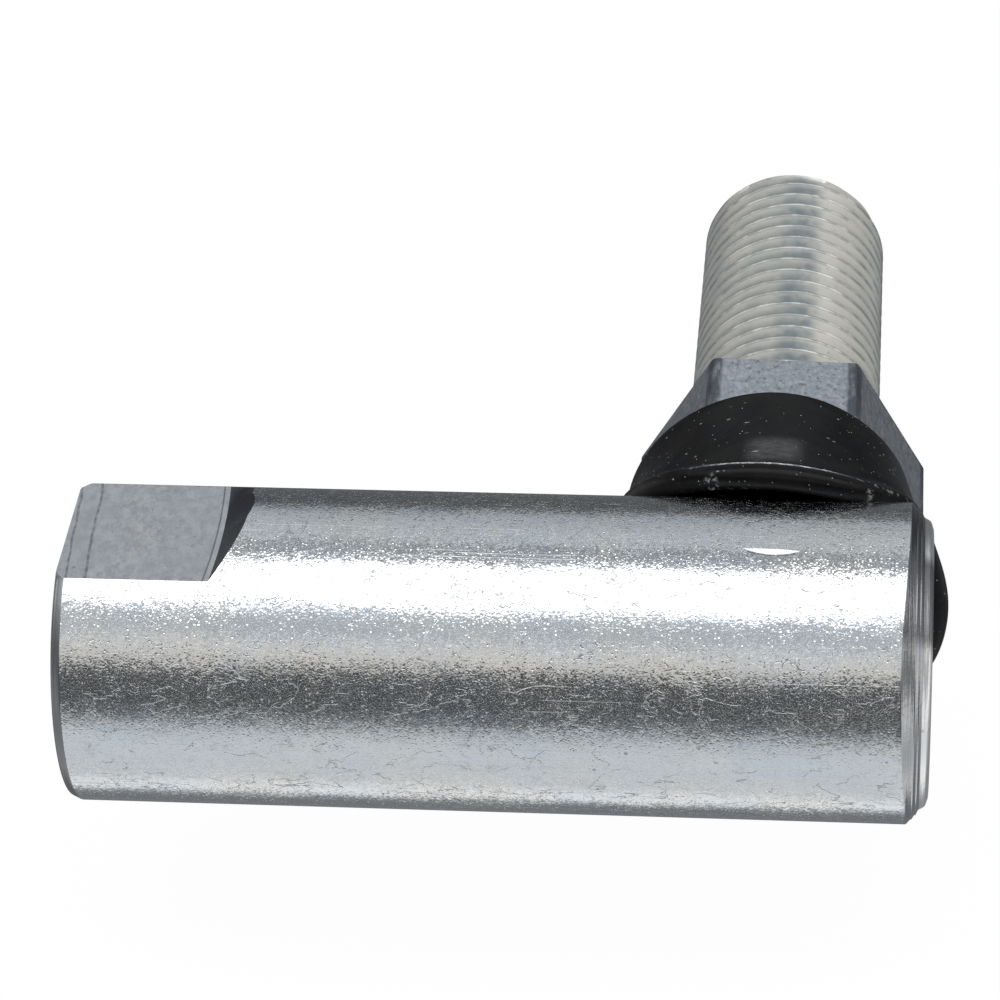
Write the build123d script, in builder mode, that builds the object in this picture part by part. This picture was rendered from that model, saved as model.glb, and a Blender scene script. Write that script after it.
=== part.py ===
from build123d import *
import os
from math import asin, cos, radians, sin, sqrt, tan

# Rod end bearing: a ball stud stands square out of the side of a threaded steel barrel.
#
# Frame, in millimetres: the origin is the centre of the threaded hole's mouth, +X runs along
# the barrel to its closed end, +Y runs out along the ball stud, and +Z leaves a wrench flat.
#
# The ball is loaded from the closed end. Its neck slides down a slot in the barrel's side, two
# seat halves grip the ball, disc springs press the halves together, and a plug closes the bore
# behind a lip that is rolled over it.

# ---------------------------------------------------------------- driving dimensions
inch = 25.4
thread_d = 7 / 16 * inch            # 7/16-20 UNF, on the stud and in the barrel
tap_drill_d = 9.9                   # minor diameter of the internal 7/16-20 thread

barrel_d = 11 / 16 * inch           # drawn bar
ball_x = 1.5 * inch                 # threaded end face to ball centre
closed_end = 8.65                   # ball centre to closed end face
thread_depth = 3 / 4 * inch         # full thread in the barrel
across_flats = 15.0                 # wrench flats
flat_length = 8.3
flat_runout = 1.5                   # length of the slope that ends each flat

ball_d = 1 / 2 * inch
neck_d = 6.8
hex_across_flats = 9 / 16 * inch
hex_near = 13.5                     # ball centre to the hex's face on the boot
hex_far = 19.1                      # ball centre to the face that the lever seats on
stud_tip = 43.85                    # ball centre to the end of the stud

swing_max = 15.0                    # degrees each way about the barrel's axis
tilt_max = 13.0                     # degrees each way about Z

# ---------------------------------------------------------------- derived and detail sizes
barrel_r = barrel_d / 2
ball_r = ball_d / 2
neck_r = neck_d / 2
thread_r = thread_d / 2
barrel_length = ball_x + closed_end

rod_end_chamfer = 0.4
closed_end_chamfer = 0.95
mouth_chamfer = 0.45
drill_point = 2.9                   # length of the tap drill's 118 degree cone

bore_r = 7.0                        # ball bore
lip = 0.5                           # how far the end lip is rolled in
plug_thickness = 1.5
fit_gap = 0.02                      # plug in its bore
slide_gap = 0.05                    # seats on the ball and in the bore, boot on neck and closed end

opening_x = 11.8                    # side opening, along the barrel
opening_z = 11.4
opening_corner = 3.4
slot_width = neck_d + 0.3

seat_face = 2.2                     # ball centre to each seat half's split face
inner_seat_back = -8.3
seat_window = 5.3                   # reach of the neck's window in the seats, each way
seat_pole_hole_r = 1.6

washer_thickness = 0.6
disc_r = 6.6
disc_hole_r = 3.2
disc_thickness = 0.6
disc_cone = 0.35                    # height of a disc spring's cone
stack_gap = 0.05                    # between the pieces of the preload stack
stack_top = inner_seat_back - washer_thickness - 2 * stack_gap
bore_floor = stack_top - 2 * (disc_thickness + disc_cone + stack_gap)

tip_chamfer = 0.75
hex_edge_round = 0.5

boot_rim_r = 8.7                    # under the hex
boot_rim_round = 0.4
boot_waist_r = 9.0
boot_lip_r = 9.85
boot_lip_half = 0.75                # half the lip's thickness, and its rounding
boot_bottom = 3.5                   # ball centre to the lip's underside
boot_mouth_r = 8.6                  # inside of the lip
boot_wall = 1.2
boot_roof = 1.45                    # thickness under the hex
boot_crown_r = 7.1                  # inside corner under the roof
boot_gap = 0.12                     # clear of the barrel
boot_top = hex_near - 0.1

# ---------------------------------------------------------------- axes and planes
barrel_axis = Axis((ball_x, 0, 0), (1, 0, 0))
stud_axis = Axis((ball_x, 0, 0), (0, 1, 0))
side_view = Plane(origin=(ball_x, 0, 0), x_dir=(1, 0, 0), z_dir=(0, 0, 1))    # X across, Y up


def across_barrel(x):
    """Plane square to the barrel, x from the ball centre, facing the closed end."""
    return Plane.YZ.offset(ball_x + x)


def across_stud(y):
    """Plane square to the stud, y from the ball centre, facing the stud's tip."""
    return Plane(origin=(ball_x, y, 0), x_dir=(1, 0, 0), z_dir=(0, 1, 0))


os.makedirs("parts", exist_ok=True)

# ---------------------------------------------------------------- barrel
with BuildPart() as barrel:
    with BuildSketch(Plane.YZ):
        Circle(barrel_r)
    extrude(amount=barrel_length)
    chamfer(barrel.faces().sort_by(Axis.X)[0].edges(), rod_end_chamfer)
    chamfer(barrel.faces().sort_by(Axis.X)[-1].edges(), closed_end_chamfer)

    # wrench flats, each ending in a slope
    with BuildSketch(Plane.XZ):
        with BuildLine():
            Polyline(
                (-1, across_flats / 2),
                (flat_length, across_flats / 2),
                (flat_length + flat_runout, barrel_r),
                (flat_length + flat_runout, barrel_r + 1),
                (-1, barrel_r + 1),
                close=True,
            )
        make_face()
        mirror(about=Plane.XZ)
    extrude(amount=barrel_r, both=True, mode=Mode.SUBTRACT)

    # tapped hole for the rod, with the drill's cone and a chamfered mouth
    with BuildSketch(Plane.XY):
        with BuildLine():
            Polyline(
                (0, 0),
                (0, tap_drill_d / 2 + mouth_chamfer),
                (mouth_chamfer, tap_drill_d / 2),
                (thread_depth, tap_drill_d / 2),
                (thread_depth + drill_point, 0),
                close=True,
            )
        make_face()
    revolve(axis=Axis.X, mode=Mode.SUBTRACT)

    # ball bore, narrowed at the end face by the rolled lip
    with BuildSketch(side_view):
        with BuildLine():
            Polyline(
                (bore_floor, 0),
                (bore_floor, bore_r),
                (closed_end - lip, bore_r),
                (closed_end, bore_r - lip),
                (closed_end, 0),
                close=True,
            )
        make_face()
    revolve(axis=barrel_axis, mode=Mode.SUBTRACT)

    # side opening for the neck, and the slot that lets it in from the closed end
    with BuildSketch(across_stud(0)):
        RectangleRounded(opening_x, opening_z, opening_corner)
        with Locations(((closed_end + 1) / 2, 0)):
            Rectangle(closed_end + 1, slot_width)
    extrude(amount=barrel_r + 1, mode=Mode.SUBTRACT)
barrel.part.label = "barrel"

# ---------------------------------------------------------------- end plug
with BuildPart() as end_plug:
    with BuildSketch(across_barrel(closed_end - plug_thickness)):
        Circle(bore_r - fit_gap)
    extrude(amount=plug_thickness)
    chamfer(end_plug.faces().sort_by(Axis.X)[-1].edges(), lip)
end_plug.part.label = "end_plug"

# ---------------------------------------------------------------- ball seats
# each half is a ring with a spherical recess; toward is the side of the ball that it is on
socket_r = ball_r + slide_gap
outer_seat_back = closed_end - plug_thickness - slide_gap
seats = {}
for seat_name, toward, back in (
    ("outer_seat", 1, outer_seat_back),
    ("inner_seat", -1, -inner_seat_back),
):
    pole_x = sqrt(socket_r**2 - seat_pole_hole_r**2)
    middle_x = socket_r * cos(radians(45))
    with BuildPart() as seat:
        with BuildSketch(side_view):
            with BuildLine():
                recess = ThreePointArc(
                    (toward * seat_face, sqrt(socket_r**2 - seat_face**2)),
                    (toward * middle_x, middle_x),
                    (toward * pole_x, seat_pole_hole_r),
                )
                Polyline(
                    recess @ 1,
                    (toward * back, seat_pole_hole_r),
                    (toward * back, bore_r - slide_gap),
                    (toward * seat_face, bore_r - slide_gap),
                    recess @ 0,
                )
            make_face()
        revolve(axis=barrel_axis)
        # window that the neck tilts in; its sides turn the seat with the neck
        with BuildSketch(across_stud(0)):
            SlotOverall(2 * seat_window, neck_d + 2 * slide_gap)
        extrude(amount=bore_r, mode=Mode.SUBTRACT)
    seat.part.label = seat_name
    seats[seat_name] = seat.part

# ---------------------------------------------------------------- preload stack
with BuildPart() as thrust_washer:
    with BuildSketch(across_barrel(inner_seat_back - stack_gap)):
        Circle(disc_r)
        Circle(disc_hole_r, mode=Mode.SUBTRACT)
    extrude(amount=-washer_thickness)
thrust_washer.part.label = "thrust_washer"

# two disc springs, hollow side to hollow side, between the washer and the bore's floor
disc_springs = {}
for spring_name, hole_x, inward in (
    ("disc_spring_front", stack_top, -1),
    ("disc_spring_rear", bore_floor + stack_gap, 1),
):
    rim_x = hole_x + inward * disc_cone
    with BuildPart() as disc_spring:
        with BuildSketch(side_view):
            with BuildLine():
                Polyline(
                    (hole_x, disc_hole_r),
                    (rim_x, disc_r),
                    (rim_x + inward * disc_thickness, disc_r),
                    (hole_x + inward * disc_thickness, disc_hole_r),
                    close=True,
                )
            make_face()
        revolve(axis=barrel_axis)
    disc_spring.part.label = spring_name
    disc_springs[spring_name] = disc_spring.part

# ---------------------------------------------------------------- ball stud
with BuildPart() as ball_stud:
    with Locations((ball_x, 0, 0)):
        Sphere(ball_r)
    with BuildSketch(across_stud(0)):
        Circle(neck_r)
    extrude(amount=hex_near)
    with BuildSketch(across_stud(hex_near)):
        RegularPolygon(hex_across_flats / 2, 6, major_radius=False)
    extrude(amount=hex_far - hex_near)
    hex_corners = ball_stud.edges().filter_by(GeomType.LINE).filter_by(Axis.Y)
    fillet([edge for edge in hex_corners if edge.center().Y > hex_near], hex_edge_round)
    with BuildSketch(across_stud(hex_far)):
        Circle(thread_r)
    extrude(amount=stud_tip - hex_far)
    chamfer(ball_stud.faces().sort_by(Axis.Y)[-1].edges(), tip_chamfer)
ball_stud.part.label = "ball_stud"

# ---------------------------------------------------------------- boot
with BuildPart() as boot:
    neck_hole_r = neck_r + slide_gap
    lip_middle = boot_bottom + boot_lip_half
    shoulder_y = boot_bottom + 2 * boot_lip_half
    waist_y = (boot_top + shoulder_y) / 2
    roof_y = boot_top - boot_roof
    rim_cut = boot_rim_round * (1 - cos(radians(45)))
    with BuildSketch(side_view):
        with BuildLine():
            top = Line((neck_hole_r, boot_top), (boot_rim_r - boot_rim_round, boot_top))
            rim = ThreePointArc(
                top @ 1,
                (boot_rim_r - rim_cut, boot_top - rim_cut),
                (boot_rim_r, boot_top - boot_rim_round),
            )
            skirt = ThreePointArc(
                rim @ 1, (boot_waist_r, waist_y), (boot_lip_r - boot_lip_half, shoulder_y)
            )
            lip_edge = ThreePointArc(
                skirt @ 1, (boot_lip_r, lip_middle), (boot_lip_r - boot_lip_half, boot_bottom)
            )
            Polyline(
                lip_edge @ 1,
                (boot_mouth_r, boot_bottom),
                (boot_waist_r - boot_wall, waist_y),
                (boot_crown_r, roof_y),
                (neck_hole_r, roof_y),
                top @ 0,
            )
        make_face()
    revolve(axis=stud_axis)
    # the barrel passes through the skirt, which hangs over the closed end
    with BuildSketch(Plane.YZ):
        Circle(barrel_r + boot_gap)
    extrude(amount=barrel_length + slide_gap, mode=Mode.SUBTRACT)
boot.part.label = "boot"

# ---------------------------------------------------------------- clearances of the side opening
tilt, swing = radians(tilt_max), radians(swing_max)
neck_reach_x = barrel_r * tan(tilt) + neck_r / cos(tilt)
neck_reach_z = barrel_r * sin(swing + asin(neck_r / barrel_r))
print(f"neck reaches {neck_reach_x:.2f} of {opening_x / 2:.2f} along the barrel")
print(f"neck reaches {neck_reach_z:.2f} of {opening_z / 2:.2f} across the barrel")

# ---------------------------------------------------------------- one STEP per sub-part
pieces = [
    barrel.part,
    end_plug.part,
    seats["outer_seat"],
    seats["inner_seat"],
    thrust_washer.part,
    disc_springs["disc_spring_front"],
    disc_springs["disc_spring_rear"],
    ball_stud.part,
    boot.part,
]
for piece in pieces:
    export_step(piece, f"parts/{piece.label}.step")
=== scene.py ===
"""Looks of the rod end bearing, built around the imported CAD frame. Lengths here are in millimetres
and become metres when a mesh is made. Angles round the barrel are measured from +Z towards +Y."""

import math

import bmesh
import bpy
import numpy as np
from mathutils import Matrix, Vector


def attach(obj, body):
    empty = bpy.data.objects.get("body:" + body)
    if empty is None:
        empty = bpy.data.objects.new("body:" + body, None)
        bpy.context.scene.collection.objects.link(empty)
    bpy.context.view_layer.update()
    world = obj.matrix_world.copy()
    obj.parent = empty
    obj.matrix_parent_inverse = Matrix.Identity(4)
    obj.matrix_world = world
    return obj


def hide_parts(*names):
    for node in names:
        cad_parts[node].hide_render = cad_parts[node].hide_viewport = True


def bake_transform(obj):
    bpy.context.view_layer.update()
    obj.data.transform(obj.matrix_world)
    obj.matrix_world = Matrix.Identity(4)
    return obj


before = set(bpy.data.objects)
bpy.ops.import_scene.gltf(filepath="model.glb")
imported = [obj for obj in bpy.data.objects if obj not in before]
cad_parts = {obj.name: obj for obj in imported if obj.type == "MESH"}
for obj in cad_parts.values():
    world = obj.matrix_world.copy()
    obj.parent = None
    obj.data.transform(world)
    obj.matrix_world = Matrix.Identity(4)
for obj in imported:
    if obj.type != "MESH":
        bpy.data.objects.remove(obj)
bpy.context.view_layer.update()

MM = 0.001

# ---------------------------------------------------------------- sizes, as in the CAD model
BARREL_R = 8.73125
BARREL_LENGTH = 46.75
BALL_X = 38.1
BALL_R = 6.35
NECK_R = 3.4
CLOSED_END = 8.65  # from the ball's centre
FLAT_HEIGHT = 7.5  # barrel's axis to a wrench flat
FLAT_END = 8.3
PITCH = 1.27
THREAD_R = 5.556
HOLE_R = 4.95
HOLE_DEPTH = 19.05
HEX_ACROSS = 14.2875
HEX_NEAR = 13.5
HEX_FAR = 19.1
STUD_TIP = 43.85
BORE_R = 7.0
BORE_FLOOR = -11.0  # from the ball's centre


# ---------------------------------------------------------------- mesh helpers
def add_mesh(name, points, faces, materials, smooth_angle=32):
    """A mesh object from points in millimetres, with edges above smooth_angle degrees kept sharp."""
    mesh = bpy.data.meshes.new(name)
    mesh.from_pydata([tuple(p) for p in np.asarray(points, float) * MM], [], faces)
    for material in materials:
        mesh.materials.append(material)
    obj = bpy.data.objects.new(name, mesh)
    bpy.context.scene.collection.objects.link(obj)
    tidy(obj)
    shade(obj, smooth_angle)
    return obj


def tidy(obj):
    """Joins points that coincide and turns the faces outwards."""
    merge = 1e-7
    work = bmesh.new()
    work.from_mesh(obj.data)
    bmesh.ops.remove_doubles(work, verts=work.verts, dist=merge)
    bmesh.ops.dissolve_degenerate(work, edges=work.edges, dist=merge / 10)
    bmesh.ops.recalc_face_normals(work, faces=work.faces)
    work.to_mesh(obj.data)
    work.free()


def shade(obj, smooth_angle):
    obj.data.polygons.foreach_set("use_smooth", [True] * len(obj.data.polygons))
    obj.data.set_sharp_from_angle(angle=math.radians(smooth_angle))
    weighted = obj.modifiers.new("weighted", "WEIGHTED_NORMAL")
    weighted.keep_sharp = True
    weighted.weight = 60


def rounded(corners, steps=4):
    """Corners are (along, radius, fillet); returns the outline with each fillet as an arc."""
    line = []
    for i, (a, r, fillet) in enumerate(corners):
        here = np.array((a, r))
        if fillet <= 0 or i in (0, len(corners) - 1):
            line.append(here)
            continue
        before = np.array(corners[i - 1][:2]) - here
        after = np.array(corners[i + 1][:2]) - here
        u, v = before / np.linalg.norm(before), after / np.linalg.norm(after)
        half = math.acos(np.clip(u @ v, -1, 1)) / 2
        reach = min(fillet / math.tan(half), 0.49 * np.linalg.norm(before), 0.49 * np.linalg.norm(after))
        start, stop = here + u * reach, here + v * reach
        for k in range(steps + 1):
            t = k / steps
            line.append((1 - t) ** 2 * start + 2 * t * (1 - t) * here + t**2 * stop)
    return np.array(line)


def grid_faces(rows, columns, closed_rows=False):
    """Quads of a grid of rings; with closed_rows the last ring joins the first."""
    faces = []
    last = rows if closed_rows else rows - 1
    for i in range(last):
        for j in range(columns):
            this_row, next_row = i * columns, (i + 1) % rows * columns
            following = (j + 1) % columns
            faces.append((this_row + j, this_row + following, next_row + following, next_row + j))
    return faces


def about_barrel(x, r, angle):
    return np.stack([x + 0 * angle, r * np.sin(angle), r * np.cos(angle)], -1)


def about_stud(y, r, angle):
    """angle is from +Z towards +X; y from the ball's centre."""
    return np.stack([BALL_X + r * np.sin(angle), y + 0 * r, r * np.cos(angle)], -1)


def lathe(name, outline, place, materials, columns=160):
    """Turns an outline of (along, radius) points, which starts and ends on the axis."""
    angle = np.linspace(0, 2 * math.pi, columns, endpoint=False)
    points = np.concatenate([place(a + 0 * angle, r + 0 * angle, angle) for a, r in outline])
    return add_mesh(name, points, grid_faces(len(outline), columns), materials)


# share of the pitch, and height above the root as a share of the thread's depth
THREAD_FORM = (
    (0.0, 1.0), (0.045, 0.985), (0.085, 0.9), (0.165, 0.69), (0.245, 0.47), (0.325, 0.25),
    (0.405, 0.07), (0.455, 0.012), (0.5, 0.0), (0.545, 0.012), (0.595, 0.07), (0.675, 0.25),
    (0.755, 0.47), (0.835, 0.69), (0.915, 0.9), (0.955, 0.985),
)


def thread_surface(start, stop, angle, radius_of, place):
    """Points and faces of a helical surface; radius_of(along, share of the depth) gives its radius."""
    first = math.floor(start / PITCH) - 1
    last = math.ceil(stop / PITCH) + 1
    lead = (angle - angle[0]) / (2 * math.pi)
    shares = np.array([s for s, _ in THREAD_FORM] + [1.0])
    levels = np.array([h for _, h in THREAD_FORM] + [THREAD_FORM[0][1]])
    points = []
    for turn in range(first, last):
        for share, _ in THREAD_FORM:
            along = np.clip((turn + share + lead) * PITCH, start, stop)
            level = np.interp((along / PITCH - lead) % 1.0, shares, levels)
            points.append(place(along, radius_of(along, level), angle))
    rows, columns, turn = len(points), len(angle), len(THREAD_FORM)
    faces = []
    for i in range(rows - 1):
        for j in range(i * columns, (i + 1) * columns - 1):
            faces.append((j, j + 1, j + 1 + columns, j + columns))
        if i + turn + 1 < rows:
            k = (i + turn) * columns
            faces.append((i * columns + columns - 1, k, k + columns, (i + 1) * columns + columns - 1))
    return np.concatenate(points), faces


# ---------------------------------------------------------------- barrel
FLAT_HALF = math.acos(FLAT_HEIGHT / BARREL_R)
BARREL_ANGLES = np.concatenate(
    [
        np.linspace(a, b, n, endpoint=False)
        for a, b, n in (
            (-FLAT_HALF, FLAT_HALF, 36),
            (FLAT_HALF, math.pi - FLAT_HALF, 84),
            (math.pi - FLAT_HALF, math.pi + FLAT_HALF, 36),
            (math.pi + FLAT_HALF, 2 * math.pi - FLAT_HALF, 84),
        )
    ]
)
FLAT_RADIUS = np.where(
    np.abs(np.cos(BARREL_ANGLES)) > math.cos(FLAT_HALF),
    FLAT_HEIGHT / np.maximum(np.abs(np.cos(BARREL_ANGLES)), 0.1),
    BARREL_R,
)
ROD_END_FACE_R = 8.5
ROD_END_CHAMFER = 0.5
FLAT_END_BOW = 0.0096
TURNED_BACK = 0.48
TURNED_SIDE = -60  # degrees round the barrel


def flat_end(y):
    """Where a flat ends: bowed back towards its two edges, as the cutter left it."""
    return FLAT_END + 0.18 - FLAT_END_BOW * y**2


def flat_runout(y):
    """Length of the slope that ends a flat, as a share of its height."""
    return 1.15 + 0.05 * y + 0.19 * np.clip(y, 0, None)


def turned_back(x, angle):
    """How far a ring near the closed end moves back: the end is turned a little off centre."""
    off = (np.degrees(angle) - TURNED_SIDE + 180) % 360 - 180
    near = np.interp(x, (45.3, 45.5, 45.7, 45.8), (0, 1, 1, 0))
    return near * TURNED_BACK * np.exp(-((off / 45) ** 2))


def build_barrel(materials):
    angle = BARREL_ANGLES
    y = FLAT_RADIUS * np.sin(angle)
    parts = []

    def surface(rows):
        """rows is a list of (x, r) pairs, each a number or an array over the angles."""
        points = np.concatenate([about_barrel(x + 0 * angle, r + 0 * angle, angle) for x, r in rows])
        parts.append((points, grid_faces(len(rows), len(angle))))

    # threaded hole: drill cone, helical thread, chamfered mouth
    def hole_radius(x, level):
        return np.maximum(HOLE_R + (THREAD_R + 0.04 - HOLE_R) * (1 - level), HOLE_R + 0.45 - x)

    points, faces = thread_surface(0.0, HOLE_DEPTH - 0.4, angle, hole_radius, about_barrel)
    parts.append((points, faces))
    inner_start, inner_stop = points[: len(angle)], points[-len(angle) :]
    hole_end = [
        about_barrel(HOLE_DEPTH + 2.9 + 0 * angle, 0 * angle, angle),
        about_barrel(HOLE_DEPTH + 0 * angle, HOLE_R + 0 * angle, angle),
        inner_stop,
    ]
    parts.append((np.concatenate(hole_end), grid_faces(3, len(angle))))

    # end face with the hole, out to the chamfer or the flat's edge
    chamfer = rounded(
        [
            (0, ROD_END_FACE_R - 0.3, 0),
            (0, ROD_END_FACE_R, 0.12),
            (ROD_END_CHAMFER, BARREL_R, 0.3),
            (1.1, BARREL_R, 0),
        ]
    )[1:-1]
    face_r = np.minimum(chamfer[0, 1], FLAT_RADIUS)
    ring = about_barrel(0 * angle, face_r, angle)
    parts.append((np.concatenate([inner_start, ring]), grid_faces(2, len(angle))))

    # rod end's chamfer, cut short by the flats, then the flats and the cylinder beside them
    step = np.arange(len(chamfer))
    last_step = np.interp(FLAT_RADIUS, chamfer[:, 1], step)
    rows = []
    for share in np.linspace(0, 1, len(chamfer)):
        at = last_step * share
        chamfer_r = np.minimum(np.interp(at, step, chamfer[:, 1]), FLAT_RADIUS)
        rows.append((np.interp(at, step, chamfer[:, 0]), chamfer_r))
    crease_x = rows[-1][0]
    end_x = flat_end(y)
    for share in np.linspace(0, 1, 20)[1:]:
        rows.append((crease_x + (end_x - crease_x) * share, FLAT_RADIUS))
    rise = BARREL_R * np.abs(np.cos(angle)) - FLAT_HEIGHT
    rise = np.where(FLAT_RADIUS < BARREL_R - 1e-9, np.maximum(rise, 0), 0)
    # on the far side the slope keeps its length nearly to the flat's edge
    kept = np.where(y > 2.5, 1.33 * np.sqrt(np.clip(rise / 0.15, 0, 1)), 0)
    slope_x = end_x + np.maximum(flat_runout(y) * rise, kept)
    for share in np.linspace(0, 1, 6)[1:]:
        rows.append((end_x + (slope_x - end_x) * share, FLAT_RADIUS + (BARREL_R - FLAT_RADIUS) * share))
    straight = np.linspace(12.0, 44.9, 23)
    for share in np.linspace(0, 1, 4)[1:]:
        rows.append((slope_x + (straight[0] - slope_x) * share, BARREL_R + 0 * angle))
    rows += [(x, BARREL_R) for x in straight[1:]]

    # closed end: chamfer turned in steps, face, rolled lip, bore
    closed = rounded(
        [
            (44.9, BARREL_R, 0),
            (45.62, BARREL_R, 0.12),
            (45.82, BARREL_R - 0.27, 0.06),
            (45.89, BARREL_R - 0.27, 0.05),
            (46.04, BARREL_R - 0.52, 0.06),
            (46.11, BARREL_R - 0.51, 0.05),
            (46.24, BARREL_R - 0.8, 0.08),
            (46.6, BARREL_R - 1.0, 0.3),
            (BARREL_LENGTH, BARREL_R - 1.45, 0.3),
            (BARREL_LENGTH, BORE_R - 0.42, 0.12),
            (BARREL_LENGTH - 0.45, BORE_R, 0.15),
            (BALL_X + BORE_FLOOR, BORE_R, 0.3),
            (BALL_X + BORE_FLOOR, 0, 0),
        ],
        steps=3,
    )
    rows += [(x - turned_back(x, angle), r) for x, r in closed[1:]]
    surface(rows)

    points, faces, start = [], [], 0
    for part_points, part_faces in parts:
        points.append(part_points)
        faces += [tuple(v + start for v in face) for face in part_faces]
        start += len(part_points)
    return add_mesh("barrel_body", np.concatenate(points), faces, materials)


def opening_outline():
    """Side opening, and the slot that runs on to the closed end, as (x from the ball, z) points."""
    half_x, half_z, corner, slot = 5.9, 5.7, 3.4, 3.55
    corner_steps = 8
    far = CLOSED_END + 2
    points = [(far, -slot), (far, slot), (half_x, slot)]
    for cx, cz, start in ((1, 1, 0), (-1, 1, 90), (-1, -1, 180), (1, -1, 270)):
        for k in range(corner_steps + 1):
            t = math.radians(start + 90 * k / corner_steps)
            x = cx * (half_x - corner) + corner * math.cos(t)
            z = cz * (half_z - corner) + corner * math.sin(t)
            if cx > 0 and abs(z) < slot:
                continue
            points.append((x, z))
    points.append((half_x, -slot))
    return points


def cut_opening(obj):
    outline = []
    for point in opening_outline():
        if not outline or math.dist(outline[-1], point) > 1e-4:
            outline.append(point)
    count = len(outline)
    points = [(BALL_X + x, y, z) for y in (0.0, BARREL_R + 2) for x, z in outline]
    faces = [tuple(range(count)), tuple(range(2 * count - 1, count - 1, -1))]
    faces += [(i, (i + 1) % count, count + (i + 1) % count, count + i) for i in range(count)]
    cutter = add_mesh("opening_cutter", points, faces, [])
    cutter.modifiers.clear()
    cut = obj.modifiers.new("opening", "BOOLEAN")
    cut.object = cutter
    cut.solver = "EXACT"
    obj.modifiers.move(len(obj.modifiers) - 1, 0)
    bake_modifiers(obj, keep=("weighted",))
    bpy.data.objects.remove(cutter)


def bake_modifiers(obj, keep=()):
    """Replaces obj's mesh by the result of its modifiers, apart from those in keep."""
    for modifier in obj.modifiers:
        if modifier.name in keep:
            modifier.show_viewport = False
    bpy.context.view_layer.update()
    graph = bpy.context.evaluated_depsgraph_get()
    made = bpy.data.meshes.new_from_object(obj.evaluated_get(graph))
    old = obj.data
    obj.data = made
    made.name = obj.name
    bpy.data.meshes.remove(old)
    for modifier in list(obj.modifiers):
        if modifier.name in keep:
            modifier.show_viewport = True
        else:
            obj.modifiers.remove(modifier)


# ---------------------------------------------------------------- ball stud
def build_ball(materials):
    """Ball and neck, up to inside the hexagon."""
    angles = np.radians(np.linspace(-90, 90 - math.degrees(math.asin(NECK_R / BALL_R)), 60))
    outline = [(BALL_R * math.sin(t), BALL_R * math.cos(t)) for t in angles]
    outline[0] = (-BALL_R, 0)
    outline += [(6.2, NECK_R), (12.4, NECK_R), (13.0, 3.6), (HEX_NEAR + 0.4, 3.75), (HEX_NEAR + 0.4, 0)]
    return lathe("ball", outline, about_stud, materials, columns=96)


HEX_TURN = 1.2  # the stud is free to spin, and rests a little round from square


def build_hex(materials):
    """Hexagon with rounded corners; its faces' edges are rounded over a few rings."""
    half, corner_r = HEX_ACROSS / 2, 0.38
    steps = 8
    section = []
    for side in range(6):
        middle = math.radians(HEX_TURN + 30 + 60 * side)
        reach = (half - corner_r) / math.cos(math.radians(30))
        centre = np.array((math.sin(middle), math.cos(middle))) * reach
        for k in range(steps + 1):
            t = middle + math.radians(-30 + 60 * k / steps)
            section.append(centre + corner_r * np.array((math.sin(t), math.cos(t))))
        for k in range(1, 10):
            t = middle + math.radians(30)
            following = math.radians(HEX_TURN + 30 + 60 * (side + 1))
            next_centre = np.array((math.sin(following), math.cos(following))) * reach
            here = centre + corner_r * np.array((math.sin(t), math.cos(t)))
            there = next_centre + corner_r * np.array((math.sin(t), math.cos(t)))
            section.append(here + (there - here) * k / 10)
    section = np.array(section)
    edge = 0.12
    levels = [(HEX_NEAR, edge)]
    for k in range(1, 5):
        t = math.radians(90 * k / 4)
        levels.append((HEX_NEAR + edge * (1 - math.cos(t)), edge * (1 - math.sin(t))))
    levels += [(HEX_NEAR + (HEX_FAR - HEX_NEAR) * k / 6, 0) for k in range(1, 6)]
    for k in range(0, 5):
        t = math.radians(90 * k / 4)
        levels.append((HEX_FAR - edge * (1 - math.sin(t)), edge * (1 - math.cos(t))))
    points, radius = [], np.hypot(section[:, 0], section[:, 1])
    for y, inset in levels:
        ring = section * ((radius - inset) / radius)[:, None]
        points.append(np.stack([BALL_X + ring[:, 0], 0 * radius + y, ring[:, 1]], -1))
    count = len(section)
    faces = grid_faces(len(levels), count)
    for row, y in ((0, HEX_NEAR), (len(levels) - 1, HEX_FAR)):
        points.append(np.array([(BALL_X, y, 0)]))
        middle = len(levels) * count + (0 if row == 0 else 1)
        faces += [(row * count + j, row * count + (j + 1) % count, middle) for j in range(count)]
    return add_mesh("stud_hex", np.concatenate(points), faces, materials, smooth_angle=40)


def build_shank(materials):
    """Threaded shank, from inside the hexagon to the chamfered tip."""
    angle = np.linspace(0, 2 * math.pi, 144, endpoint=False)
    minor = 4.79
    tip_r = THREAD_R - 1.0

    def radius(y, level):
        chamfer = tip_r + 1.1 * (STUD_TIP - y)
        return np.minimum(minor + (THREAD_R - minor) * level, chamfer)

    points, faces = thread_surface(HEX_FAR - 0.2, STUD_TIP, angle, radius, about_stud)
    columns = len(angle)
    for row, y, r in ((0, HEX_FAR - 0.2, 3.0), (len(points) // columns - 1, STUD_TIP, 4.3)):
        base = len(points)
        ring = about_stud(y + 0 * angle, r + 0 * angle, angle)
        points = np.concatenate([points, ring, [(BALL_X, y, 0)]])
        for j in range(columns):
            k = (j + 1) % columns
            faces.append((row * columns + j, row * columns + k, base + k, base + j))
            faces.append((base + j, base + k, base + columns))
    return add_mesh("stud_thread", points, faces, materials, smooth_angle=50)


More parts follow.
